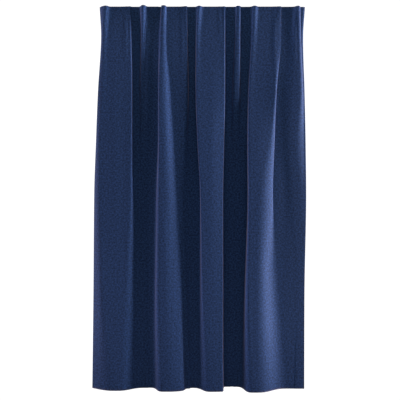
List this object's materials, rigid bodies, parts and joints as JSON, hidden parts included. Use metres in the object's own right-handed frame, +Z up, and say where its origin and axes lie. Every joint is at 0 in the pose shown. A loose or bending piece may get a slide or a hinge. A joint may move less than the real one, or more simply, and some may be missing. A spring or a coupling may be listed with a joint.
{
  "type": "blackout curtain panel",
  "caption": "Full-length velvet blackout curtain panel that hangs in soft uneven folds from a pleated heading.",
  "frame": {"origin": "middle of the heading's top edge", "axes": "+Z up along the drop, +X to the viewer's right along the heading, and the pile side faces -Y"},
  "size_m": [1.2657, 0.0748, 2.2501],
  "materials": {
    "velvet": "deep navy blackout velvet: short soft pile with a mottled nap and a faint sheen on the front, plain dense weave on the back"
  },
  "bodies": {
    "root": {"curtain_panel": "velvet"}
  },
  "joints": []
}
